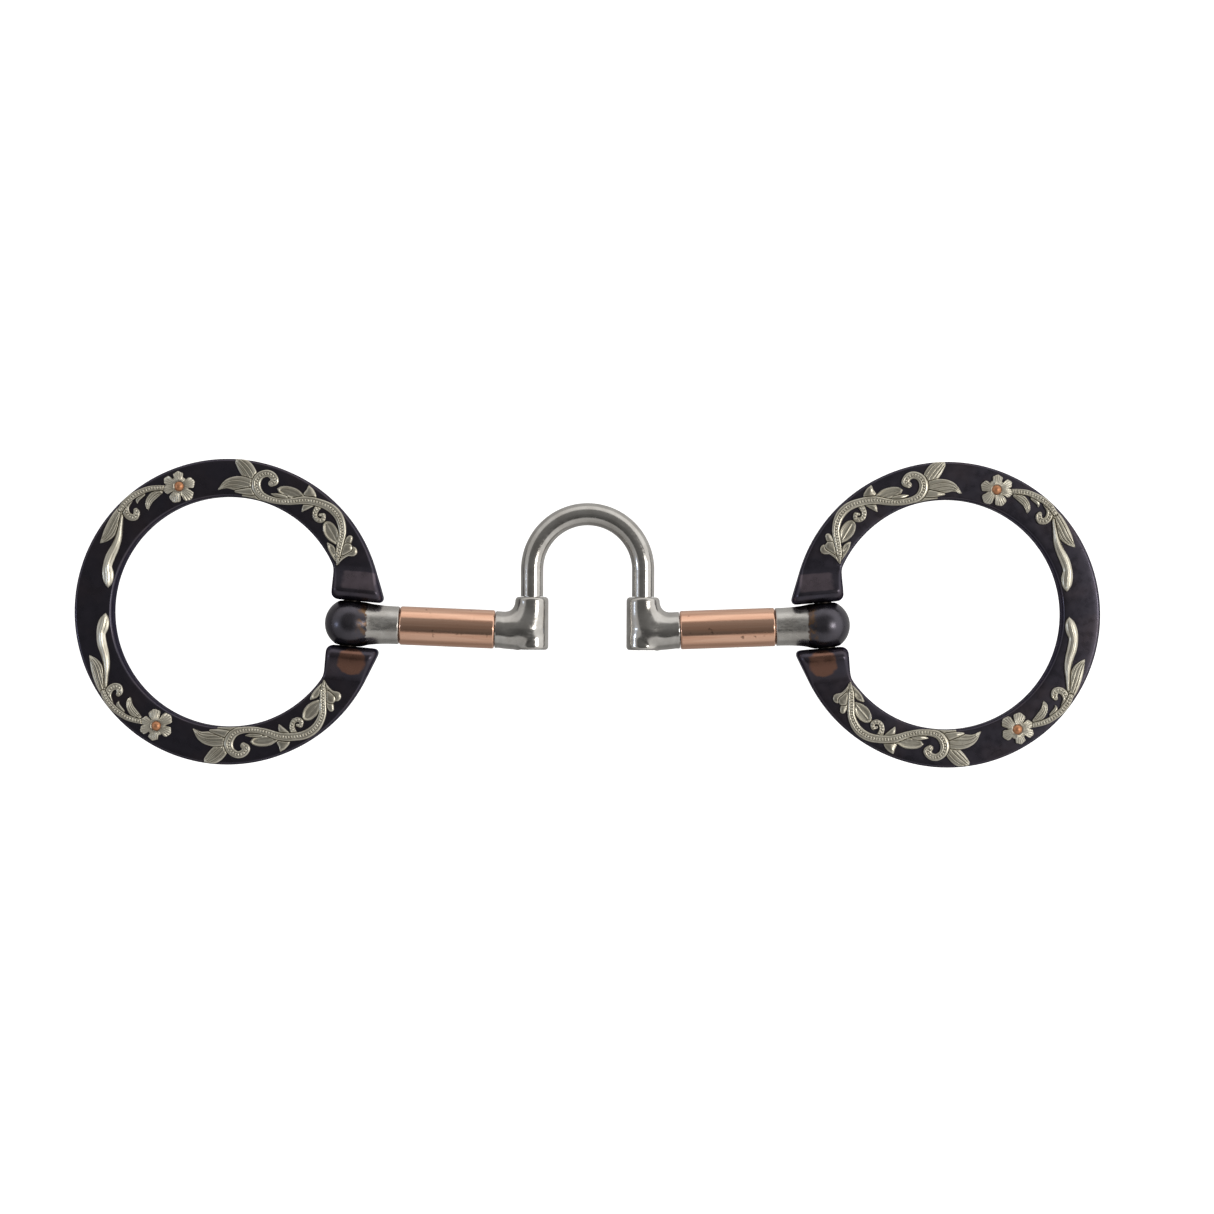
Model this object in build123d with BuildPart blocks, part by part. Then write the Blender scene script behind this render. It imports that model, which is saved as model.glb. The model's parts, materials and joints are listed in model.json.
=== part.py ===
"""Ring-cheek horse bit: a hinged port, two arms with copper rollers and two hinged, ornamented rings.

The bit lies flat, its balls resting on Z = 0.  +X runs along the mouthpiece, +Y is the way the port
rises, +Z is the ornamented side.  The origin is midway between the rings, on the line through their
centres.  Right-hand pieces are modelled and mirrored in the YZ plane to make the left-hand ones.
"""
import os
from math import cos, radians, sin, sqrt, tan

from build123d import *

# ---------------------------------------------------------------- driving dimensions, millimetres
BALL_R = 7.25              # pivot ball at the end of each arm
BALL_FLAT = 6.45           # half-height of the ball between its flats, along the pivot pin
MID_Z = BALL_R             # every piece is centred on this height when the bit lies flat

RING_X = 104.0             # ring centre from the middle of the bit
RING_OUTER_R = 44.2
RING_INNER_R = 33.3
RING_THICK = 8.0
RING_EDGE_R = 1.3
RING_LEAN = 5.2            # degrees: how far below the ring's centre line its ball sits
PIVOT_U = 35.3             # ring centre to pivot pin

BLOCK_IN = 29.4            # inner and outer sides of the hinge blocks, from the ring centre
BLOCK_OUT = 44.8
BLOCK_THICK = 12.5
BLOCK_ROOT = 17.0          # a block starts this far from the ball's centre line, inside the ring,
ROOT_INSET = 0.3           # and this far under the ring's surfaces
GAP_HALF = 6.75            # half the slot between the blocks, where the ball sits
BLOCK_NOSE = [(1.3, 0.0), (0.35, 0.35), (0.0, 1.1)]   # rounded end: depth, and inset all round
BAND_END = 14.0            # degrees: the ring's band ends inside its blocks

PIN_R = 2.5
PIN_LENGTH = 25.0
PIVOT_BORE_R = 2.55

BAR_DROOP = 2.2            # degrees: how much the arms fall towards the port
COLLAR_R = 6.1             # where ball and neck meet
COLLAR_S = 4.9             # distances along the arm from the ball centre: the collar,
NECK_END_S = 14.35         # the end of the neck,
ROLLER_START_S = 14.5      # both ends of the roller,
ROLLER_END_S = 42.0
ELBOW_START_S = 42.15      # and the near end of the elbow
NECK_R = 5.5
AXLE_R = 3.0
AXLE_EMBED = 4.5           # length of axle held in the neck and in the elbow
ROLLER_R = 5.6
ROLLER_BORE_R = 3.08
ROLLER_EDGE_R = 0.6

PORT_ROD_R = 3.25
PORT_LEG_X = 16.1
PORT_CENTRE_Y = 12.6       # centre of the arch
BARREL_TOP_Y = 4.7
BARREL_BOTTOM_Y = -10.7
BARREL_R = 4.8
BARREL_TOP_EDGE_R = 1.6
BARREL_BOTTOM_EDGE_R = 0.8
ELBOW_BAR_R = 5.35         # the elbow's bar, and where it narrows into the barrel
ELBOW_BAR_END_R = 4.2
TAPER_START_S = 45.0
TAPER_END_S = 52.0
WEB_START_S = 43.0         # web that fills the outer corner between bar and barrel
WEB_TOP_S = 49.3
WEB_SAG = 0.9
WEB_DEPTH = 3.4
WEB_DROP = 0.3             # the web stops this far below the barrel's top
SPIGOT_R = 2.4
SPIGOT_BORE_R = 2.45
BURR_R = 3.5
BURR_THICK = 1.3
COUNTERBORE_R = 3.6
COUNTERBORE_DEPTH = 1.6
END_PLAY = 0.1             # between the port's shoulders and burrs and the elbows they hold

PLATE_THICK = 0.9          # overlay ornaments on the ring's top face
RIVET_HEAD_R = 1.35
RIVET_HEAD_HEIGHT = 0.8
RIVET_SHANK_R = 0.75
RIVET_EMBED = 2.0          # length of rivet shank inside the ring

# ---------------------------------------------------------------- ornament outlines
# Places are (degrees round the ring from the ball, radius).  A leaf runs from base to tip, with the
# half-width of its middle and how far that middle bows outwards.  A stem is a strip along a curve.
VINE_STEMS = [
    (1.7, [(32, 35.2), (35, 37.0), (38.5, 39.1), (43, 41.4), (47.5, 42.3), (52, 42.0), (57, 40.5),
           (61.5, 38.6), (66, 36.4), (71, 35.0), (77, 34.3), (80, 34.5)]),
    (1.7, [(78, 34.4), (81, 34.9), (83.4, 36.6), (84.0, 39.2), (82, 41.2), (79.3, 41.7), (76.8, 41.0),
           (75.8, 39.8), (77, 38.7), (78.4, 38.9)]),
    (1.3, [(55, 41.0), (54.9, 38.8), (53.2, 37.0), (51, 36.9), (49.7, 38.0), (50.6, 39.0), (52.3, 38.6)]),
]
VINE_LEAVES = [
    ((33.5, 35.9), (28.4, 33.9), 0.7, 0.0),       # pointed foot
    ((32.4, 35.6), (31.4, 41.6), 1.5, 0.0),       # club leaf
    ((33.5, 36.2), (37.6, 42.0), 0.8, 0.0),       # finger
    ((33.5, 35.5), (40.3, 34.9), 0.6, 0.2),       # small lower leaf
    ((37.5, 37.2), (48.2, 38.2), 1.9, 0.0),       # drop leaf
    ((57.0, 40.2), (59.9, 35.9), 1.1, 0.0),       # inner spike
    ((58.0, 40.0), (63.4, 43.2), 1.2, 0.0),       # outer spike
    ((62.5, 38.0), (73.8, 38.2), 1.5, 0.3),       # middle leaf
    ((70.0, 35.5), (75.5, 36.4), 0.5, 0.0),       # spur
    ((84.5, 37.5), (92.7, 44.0), 2.1, 0.3),       # outer end leaf
    ((83.5, 36.4), (100.3, 35.3), 2.0, 1.2),      # long end leaf
    ((80.5, 34.6), (92.2, 34.9), 1.1, 0.2),       # short end leaf
    ((76.0, 34.0), (88.6, 33.9), 0.6, 0.0),       # edge leaf
]
SPRAY_STEMS = [
    (1.6, [(119, 39.4), (123, 40.8), (127, 42.2), (131, 43.1), (136, 43.4), (142, 42.6)]),
    (1.5, [(136, 43.3), (140, 42.6), (142, 40.8), (141.6, 38.9), (139.6, 37.9), (137.3, 38.4),
           (137.1, 39.6), (138.4, 39.9)]),
]
SPRAY_LEAVES = [
    ((123.5, 40.6), (133.0, 37.4), 1.4, 0.8),     # broad leaflet
    ((129.0, 42.4), (135.0, 40.8), 0.7, 0.5),     # narrow leaflet
    ((139.5, 42.6), (156.4, 41.6), 1.9, 0.2),     # upper leaf
    ((141.0, 41.6), (165.0, 37.6), 2.2, -0.8),    # lower leaf
    ((160.5, 37.6), (174.0, 35.1), 1.9, 0.3),     # its bud
]
STEM_BEAD = 0.62           # radius of the bead that ends a stem, as a share of the stem's width
FLOWER_CENTRE = (116.3, 38.7)
FLOWER_DISC_R = 3.0
# Petals: direction in degrees from the ring's tangent, reach and width at the tip.
FLOWER_PETALS = [(90, 4.4, 3.0), (53, 5.0, 2.4), (-4, 4.4, 3.0), (-52, 4.8, 2.6), (-110, 4.9, 3.6),
                 (180, 4.8, 3.6)]
PETAL_WAIST = 1.6
PETAL_NOTCH = 0.93         # depth of the notch in a petal's end, as a share of its reach

# ---------------------------------------------------------------- derived places and planes
BALL_X = RING_X - PIVOT_U * cos(radians(RING_LEAN))
BALL_Y = -PIVOT_U * sin(radians(RING_LEAN))
BAR_Y_AT_LEG = BALL_Y - (BALL_X - PORT_LEG_X) * tan(radians(BAR_DROOP))

# Ring frame: x runs from the ring centre to the ball, y downwards along the pivot pin.
TO_BALL = Vector(-cos(radians(RING_LEAN)), -sin(radians(RING_LEAN)), 0)
RING_PLANE = Plane(origin=(RING_X, 0, MID_Z), x_dir=TO_BALL, z_dir=(0, 0, 1))
RING_FACE = RING_PLANE.offset(RING_THICK / 2)
RING_MIRROR = Plane(origin=RING_PLANE.origin, z_dir=RING_PLANE.y_dir)
PIN_PLANE = Plane(origin=(BALL_X, BALL_Y, MID_Z), x_dir=TO_BALL, z_dir=RING_PLANE.y_dir)

# Bar frame: x runs from the ball centre to the port along the arm, z upwards.
TO_PORT = Vector(-cos(radians(BAR_DROOP)), -sin(radians(BAR_DROOP)), 0)
BAR_PLANE = Plane(origin=(BALL_X, BALL_Y, MID_Z), x_dir=TO_PORT, z_dir=(0, 0, 1))
BAR_AXIS = Axis(BAR_PLANE.origin, TO_PORT)
LEG_AXIS = Axis((PORT_LEG_X, 0, MID_Z), (0, 1, 0))


def across_bar(distance):
    """Plane square to the arm, this far from the ball centre, its x upwards."""
    return Plane(origin=BAR_PLANE.origin + TO_PORT * distance, x_dir=(0, 0, 1), z_dir=TO_PORT)


def across_leg(y):
    """Plane square to the port's right leg at this Y, its x along the bit."""
    return Plane(origin=(PORT_LEG_X, y, MID_Z), x_dir=(1, 0, 0), z_dir=(0, 1, 0))


def on_ring(place):
    """Point of the ring frame, from (degrees round the ring from the ball, radius)."""
    angle, radius = place
    return Vector(radius * cos(radians(angle)), radius * sin(radians(angle)))


os.makedirs("parts", exist_ok=True)


def save(part, node):
    part.label = node
    export_step(part, f"parts/{node}.step")


def save_pair(part, name):
    """Writes a right-hand piece and its mirror image."""
    save(part, f"right_{name}")
    with BuildPart() as twin:
        mirror(part, about=Plane.YZ)
    save(twin.part, f"left_{name}")


# ---------------------------------------------------------------- ring with its two hinge blocks
def block_section(along_pin, u_in, u_out, thick):
    """Rounded rectangle square to the pivot pin, between two distances from the ring centre."""
    plane = Plane(
        origin=RING_PLANE.origin + RING_PLANE.y_dir * along_pin, x_dir=TO_BALL, z_dir=RING_PLANE.y_dir
    )
    with BuildSketch(plane) as section:
        with Locations(((u_in + u_out) / 2, 0)):
            RectangleRounded(u_out - u_in, thick, RING_EDGE_R)
    return section.sketch


root_in = sqrt(RING_INNER_R**2 - BLOCK_ROOT**2)
root_out = sqrt(RING_OUTER_R**2 - BLOCK_ROOT**2)
block_sections = [
    block_section(
        BLOCK_ROOT, root_in + ROOT_INSET, root_out - ROOT_INSET, RING_THICK - 2 * ROOT_INSET
    )
]
for nose_depth, nose_inset in BLOCK_NOSE:
    block_sections.append(
        block_section(
            GAP_HALF + nose_depth,
            BLOCK_IN + nose_inset,
            BLOCK_OUT - nose_inset,
            BLOCK_THICK - 2 * nose_inset,
        )
    )

with BuildPart() as block:
    loft(block_sections, ruled=True)

band_start = on_ring((BAND_END, 1))
band_x = TO_BALL * band_start.X + RING_PLANE.y_dir * band_start.Y
band_normal = RING_PLANE.y_dir * band_start.X - TO_BALL * band_start.Y

with BuildPart() as ring:
    with BuildSketch(Plane(origin=RING_PLANE.origin, x_dir=band_x, z_dir=band_normal)):
        with Locations(((RING_INNER_R + RING_OUTER_R) / 2, 0)):
            RectangleRounded(RING_OUTER_R - RING_INNER_R, RING_THICK, RING_EDGE_R)
    revolve(axis=Axis(RING_PLANE.origin, (0, 0, 1)), revolution_arc=360 - 2 * BAND_END)
    add(block.part)
    mirror(block.part, about=RING_MIRROR)
    # blind holes for the pivot pin
    with BuildSketch(PIN_PLANE):
        Circle(PIN_R)
    extrude(amount=PIN_LENGTH / 2, both=True, mode=Mode.SUBTRACT)
    # blind holes for the flower rivets
    with BuildSketch(RING_FACE.offset(-RIVET_EMBED)):
        with Locations(on_ring(FLOWER_CENTRE), on_ring((-FLOWER_CENTRE[0], FLOWER_CENTRE[1]))):
            Circle(RIVET_SHANK_R)
    extrude(amount=RIVET_EMBED, mode=Mode.SUBTRACT)
save_pair(ring.part, "ring")

with BuildPart() as pivot_pin:
    with BuildSketch(PIN_PLANE):
        Circle(PIN_R)
    extrude(amount=PIN_LENGTH / 2, both=True)
save_pair(pivot_pin.part, "pivot_pin")


# ---------------------------------------------------------------- overlay ornaments
def stem(places, width):
    """Strip of even width along a smooth curve, ending in a bead, in the current sketch."""
    points = [on_ring(place) for place in places]
    with BuildLine() as path:
        Spline(*points)
    trace(path.line, line_width=width)
    with Locations(points[-1]):
        Circle(width * STEM_BEAD)


def leaf(base, tip, half_width, bow):
    """Pointed leaf between two arcs, in the current sketch."""
    start = on_ring(base)
    end = on_ring(tip)
    along = (end - start).normalized()
    outwards = along.rotate(Axis.Z, 90)
    if outwards.dot(start + end) < 0:
        outwards = -outwards
    middle = (start + end) / 2 + outwards * bow
    with BuildLine() as outline:
        ThreePointArc(start, middle + outwards * half_width, end)
        ThreePointArc(end, middle - outwards * half_width, start)
    make_face(outline.line)


def petal(direction, reach, tip_width):
    """Notched petal: a trapezium from the flower's centre, widening outwards, in the current sketch."""
    tangent_angle = FLOWER_CENTRE[0] + 90
    centre = on_ring(FLOWER_CENTRE)
    along = Vector(1, 0).rotate(Axis.Z, tangent_angle - direction)
    across = along.rotate(Axis.Z, 90)
    with BuildLine() as outline:
        Polyline(
            centre - across * PETAL_WAIST / 2,
            centre + along * reach - across * tip_width / 2,
            centre + along * reach * PETAL_NOTCH,
            centre + along * reach + across * tip_width / 2,
            centre + across * PETAL_WAIST / 2,
            close=True,
        )
    make_face(outline.line)


with BuildPart() as vine:
    with BuildSketch(RING_FACE):
        for stem_width, stem_places in VINE_STEMS:
            stem(stem_places, stem_width)
        for leaf_shape in VINE_LEAVES:
            leaf(*leaf_shape)
    extrude(amount=PLATE_THICK)

with BuildPart() as spray:
    with BuildSketch(RING_FACE):
        with Locations(on_ring(FLOWER_CENTRE)):
            Circle(FLOWER_DISC_R)
        for petal_shape in FLOWER_PETALS:
            petal(*petal_shape)
        for stem_width, stem_places in SPRAY_STEMS:
            stem(stem_places, stem_width)
        for leaf_shape in SPRAY_LEAVES:
            leaf(*leaf_shape)
        with Locations(on_ring(FLOWER_CENTRE)):
            Circle(RIVET_SHANK_R, mode=Mode.SUBTRACT)
    extrude(amount=PLATE_THICK)

# domed head on a shank that goes through the flower into the ring
HEAD_BALL_R = (RIVET_HEAD_R**2 + RIVET_HEAD_HEIGHT**2) / (2 * RIVET_HEAD_HEIGHT)
rivet_middle = RING_FACE.from_local_coords(on_ring(FLOWER_CENTRE))
RIVET_PLANE = Plane(origin=rivet_middle, x_dir=(1, 0, 0), z_dir=(0, -1, 0))

with BuildPart() as rivet:
    with BuildSketch(RIVET_PLANE):
        with BuildLine():
            Polyline(
                (0, PLATE_THICK + RIVET_HEAD_HEIGHT),
                (0, -RIVET_EMBED),
                (RIVET_SHANK_R, -RIVET_EMBED),
                (RIVET_SHANK_R, PLATE_THICK),
                (RIVET_HEAD_R, PLATE_THICK),
            )
            RadiusArc(
                (RIVET_HEAD_R, PLATE_THICK), (0, PLATE_THICK + RIVET_HEAD_HEIGHT), -HEAD_BALL_R
            )
        make_face()
    revolve(axis=Axis(rivet_middle, (0, 0, 1)))

for ornament_name, ornament in (("vine", vine), ("spray", spray), ("flower_rivet", rivet)):
    save_pair(ornament.part, f"lower_{ornament_name}")
    with BuildPart() as upper:
        mirror(ornament.part, about=RING_MIRROR)
    save_pair(upper.part, f"upper_{ornament_name}")

# ---------------------------------------------------------------- ball, neck, axle and roller
with BuildPart() as ball:
    with Locations(BAR_PLANE.origin):
        Sphere(BALL_R)
    # collar that carries the neck
    with BuildSketch(across_bar(0)):
        Circle(COLLAR_R)
    extrude(amount=COLLAR_S)
    # flats where the ball faces the hinge blocks
    with BuildSketch(PIN_PLANE):
        Circle(2 * BALL_R)
    extrude(amount=BALL_FLAT, both=True, mode=Mode.INTERSECT)
    # flat end that the neck is joined to
    with BuildSketch(across_bar(COLLAR_S)):
        Circle(2 * BALL_R)
    extrude(amount=BALL_R, mode=Mode.SUBTRACT)
    with BuildSketch(PIN_PLANE):
        Circle(PIVOT_BORE_R)
    extrude(amount=BALL_R, both=True, mode=Mode.SUBTRACT)
save_pair(ball.part, "ball")

with BuildPart() as neck:
    with BuildSketch(BAR_PLANE):
        with BuildLine():
            Polyline(
                (NECK_END_S - AXLE_EMBED, 0),
                (COLLAR_S, 0),
                (COLLAR_S, COLLAR_R),
            )
            Spline(
                (COLLAR_S, COLLAR_R),
                ((COLLAR_S + NECK_END_S) / 2, (COLLAR_R + NECK_R) / 2 + 0.1),
                (NECK_END_S, NECK_R),
                tangents=((1, 0), (1, 0)),
            )
            Polyline(
                (NECK_END_S, NECK_R),
                (NECK_END_S, AXLE_R),
                (NECK_END_S - AXLE_EMBED, AXLE_R),
                (NECK_END_S - AXLE_EMBED, 0),
            )
        make_face()
    revolve(axis=BAR_AXIS)
save_pair(neck.part, "neck")

with BuildPart() as axle:
    with BuildSketch(across_bar(NECK_END_S - AXLE_EMBED)):
        Circle(AXLE_R)
    extrude(amount=ELBOW_START_S - NECK_END_S + 2 * AXLE_EMBED)
save_pair(axle.part, "axle")

with BuildPart() as roller:
    with BuildSketch(across_bar(ROLLER_START_S)):
        Circle(ROLLER_R)
        Circle(ROLLER_BORE_R, mode=Mode.SUBTRACT)
    extrude(amount=ROLLER_END_S - ROLLER_START_S)
    fillet(roller.edges().filter_by(GeomType.CIRCLE).sort_by(SortBy.RADIUS)[-2:], ROLLER_EDGE_R)
save_pair(roller.part, "roller")

# ---------------------------------------------------------------- elbow
with BuildPart() as elbow:
    # upright barrel round the port's leg
    with BuildSketch(Plane.XY.offset(MID_Z)):
        with Locations((PORT_LEG_X, BARREL_BOTTOM_Y)):
            Rectangle(BARREL_R, BARREL_TOP_Y - BARREL_BOTTOM_Y, align=(Align.MIN, Align.MIN))
        rim = vertices().sort_by(Axis.X)[-2:].sort_by(Axis.Y)
        fillet(rim[-1], BARREL_TOP_EDGE_R)
        fillet(rim[0], BARREL_BOTTOM_EDGE_R)
    revolve(axis=LEG_AXIS)
    # round bar that narrows into the barrel
    with BuildSketch(BAR_PLANE):
        with BuildLine():
            Polyline(
                (ELBOW_START_S, 0),
                (ELBOW_START_S, ELBOW_BAR_R),
                (TAPER_START_S, ELBOW_BAR_R),
                (TAPER_END_S, ELBOW_BAR_END_R),
                (TAPER_END_S, 0),
                close=True,
            )
        make_face()
    revolve(axis=BAR_AXIS)
    # web with a hollow outer edge; the bar frame's y runs downwards
    web_start = Vector(WEB_START_S, -ELBOW_BAR_R)
    web_top = Vector(WEB_TOP_S, BAR_Y_AT_LEG - BARREL_TOP_Y + WEB_DROP)
    web_sag = (web_top - web_start).normalized().rotate(Axis.Z, 90) * WEB_SAG
    with BuildSketch(BAR_PLANE):
        with BuildLine():
            ThreePointArc(web_start, (web_start + web_top) / 2 + web_sag, web_top)
            Polyline(web_top, (TAPER_END_S, web_top.Y), (TAPER_END_S, 0), (WEB_START_S, 0), web_start)
        make_face()
    extrude(amount=WEB_DEPTH, both=True)
    # socket for the axle
    with BuildSketch(across_bar(ELBOW_START_S)):
        Circle(AXLE_R)
    extrude(amount=AXLE_EMBED, mode=Mode.SUBTRACT)
    # bore for the port's spigot, and the recess for its burr
    with BuildSketch(across_leg(BARREL_BOTTOM_Y)):
        Circle(SPIGOT_BORE_R)
    extrude(amount=BARREL_TOP_Y - BARREL_BOTTOM_Y, mode=Mode.SUBTRACT)
    with BuildSketch(across_leg(BARREL_BOTTOM_Y)):
        Circle(COUNTERBORE_R)
    extrude(amount=COUNTERBORE_DEPTH, mode=Mode.SUBTRACT)
save_pair(elbow.part, "elbow")

# ---------------------------------------------------------------- port
SHOULDER_Y = BARREL_TOP_Y + END_PLAY
BURR_TOP_Y = BARREL_BOTTOM_Y + COUNTERBORE_DEPTH - END_PLAY

with BuildPart() as port_bar:
    with BuildLine():
        Line((-PORT_LEG_X, SHOULDER_Y, MID_Z), (-PORT_LEG_X, PORT_CENTRE_Y, MID_Z))
        ThreePointArc(
            (-PORT_LEG_X, PORT_CENTRE_Y, MID_Z),
            (0, PORT_CENTRE_Y + PORT_LEG_X, MID_Z),
            (PORT_LEG_X, PORT_CENTRE_Y, MID_Z),
        )
        Line((PORT_LEG_X, PORT_CENTRE_Y, MID_Z), (PORT_LEG_X, SHOULDER_Y, MID_Z))
    with BuildSketch(Plane(origin=(-PORT_LEG_X, SHOULDER_Y, MID_Z), z_dir=(0, 1, 0))):
        Circle(PORT_ROD_R)
    sweep()
    # turned-down spigots through the elbows
    for leg_x in (-PORT_LEG_X, PORT_LEG_X):
        with BuildSketch(Plane(origin=(leg_x, SHOULDER_Y, MID_Z), z_dir=(0, -1, 0))):
            Circle(SPIGOT_R)
        extrude(amount=SHOULDER_Y - BURR_TOP_Y + BURR_THICK)
save(port_bar.part, "port_bar")

with BuildPart() as burr:
    with BuildSketch(across_leg(BURR_TOP_Y - BURR_THICK)):
        Circle(BURR_R)
        Circle(SPIGOT_R, mode=Mode.SUBTRACT)
    extrude(amount=BURR_THICK)
save_pair(burr.part, "port_end_burr")
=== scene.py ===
"""Looks of the ring bit: sculpted overlays, smooth castings and worn metal round the fixed CAD frame."""
import json
import math

import bpy
import numpy as np
from mathutils import Matrix, Vector


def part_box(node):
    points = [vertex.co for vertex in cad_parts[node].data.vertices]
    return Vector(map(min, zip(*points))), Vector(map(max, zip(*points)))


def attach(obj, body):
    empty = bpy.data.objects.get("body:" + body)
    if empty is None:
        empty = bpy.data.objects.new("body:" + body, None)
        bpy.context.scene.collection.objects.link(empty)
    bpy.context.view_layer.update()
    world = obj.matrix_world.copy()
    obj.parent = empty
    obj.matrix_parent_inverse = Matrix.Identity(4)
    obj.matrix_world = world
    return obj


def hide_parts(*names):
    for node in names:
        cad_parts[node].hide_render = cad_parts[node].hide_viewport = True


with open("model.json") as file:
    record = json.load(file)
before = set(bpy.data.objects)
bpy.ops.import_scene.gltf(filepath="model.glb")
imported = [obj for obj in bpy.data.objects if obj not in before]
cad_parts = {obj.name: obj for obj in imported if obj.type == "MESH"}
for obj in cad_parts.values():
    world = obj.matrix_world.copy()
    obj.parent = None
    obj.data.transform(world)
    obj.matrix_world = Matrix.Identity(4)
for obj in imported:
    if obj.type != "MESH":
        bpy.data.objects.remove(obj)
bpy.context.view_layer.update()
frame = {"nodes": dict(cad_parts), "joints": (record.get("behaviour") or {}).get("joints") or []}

MM = 0.001
SIDES = (("left", -1), ("right", 1))

# ------------------------------------------------------------------ sizes in millimetres
RING_INNER_R = 33.3
BLOCK_IN = 29.4              # sides and thickness of the hinge blocks
BLOCK_OUT = 44.8
BLOCK_THICK = 12.5
BLOCK_SLOPE_START = 9.4      # from the ball's centre line: where a block starts to thin,
BLOCK_SLOPE_END = 16.6       # and where it has become the ring
BLOCK_EDGE_R = 2.0
GAP_HALF = 6.62
NOSE_R = 3.6                 # rounding of a block's end, seen along the ring
NOSE_PLAN_R = 1.9            # and seen from above
RING_EDGE_R = 0.9
RING_CROWN = 0.1             # fall of the ring's faces towards their edges
RELIEF_STEP = 0.1            # grid of the sculpted overlays
RELIEF_SINK = 0.12           # depth of an overlay's back in the ring's face
BAND_MIDDLE_R = 38.7
BAND_MARGIN = 0.15           # an overlay keeps this far inside the ring's edges

# ------------------------------------------------------------------ places read from the frame
joints = {joint["name"]: joint for joint in frame["joints"]}
ring_low, ring_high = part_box("right_ring")
RING_OUTER_R = (ring_high.y - ring_low.y) / 2 / MM
RING_X = ring_high.x / MM - RING_OUTER_R
MID_Z = (ring_high.z + ring_low.z) / 2 / MM
FACE_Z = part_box("right_lower_vine")[0].z / MM
RING_THICK = 2 * (FACE_Z - MID_Z)
pin_at = Vector(joints["right_ring_swing"]["pos_m"]) / MM
pin_axis = Vector(joints["right_ring_swing"]["axis"])
bar_axis = Vector(joints["right_roller_spin"]["axis"])
ring_centre = Vector((RING_X, 0, MID_Z))
to_ball = (pin_at - ring_centre).normalized()
RING_FRAME = Matrix((to_ball, pin_axis, Vector((0, 0, 1)))).transposed()


def on_ring(place):
    """Ring-frame point, from (degrees round the ring from the ball, radius)."""
    angle, radius = place
    return np.array((math.cos(math.radians(angle)), math.sin(math.radians(angle)))) * radius


# ------------------------------------------------------------------ mesh helpers
def new_object(name, vertices, faces, material, smooth_angle=35):
    """Mesh object in metres from points in millimetres."""
    mesh = bpy.data.meshes.new(name)
    mesh.from_pydata([tuple(point) for point in np.asarray(vertices) * MM], [], faces)
    mesh.validate()
    mesh.shade_smooth()
    mesh.set_sharp_from_angle(angle=math.radians(smooth_angle))
    mesh.materials.append(material)
    obj = bpy.data.objects.new(name, mesh)
    bpy.context.scene.collection.objects.link(obj)
    return obj


def ring_to_world(points, side, flip, nudge=(0, 0)):
    """Ring-frame points to the bit's frame: flip gives the upper copy, side -1 the left-hand ring.
    The nudge turns them round the ring, in degrees, and moves them outwards, in millimetres."""
    points = np.array(points, float)
    turn, radius = np.arctan2(points[:, 1], points[:, 0]), np.hypot(points[:, 0], points[:, 1])
    turn, radius = turn + math.radians(nudge[0]), radius + nudge[1]
    points[:, 0], points[:, 1] = radius * np.cos(turn), radius * np.sin(turn)
    if flip:
        points[:, 1] *= -1
    world = points @ np.array(RING_FRAME).T + np.array(ring_centre)
    world[:, 0] *= side
    return world


def wound(faces, mirrored):
    return [tuple(reversed(face)) for face in faces] if mirrored else faces


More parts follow.
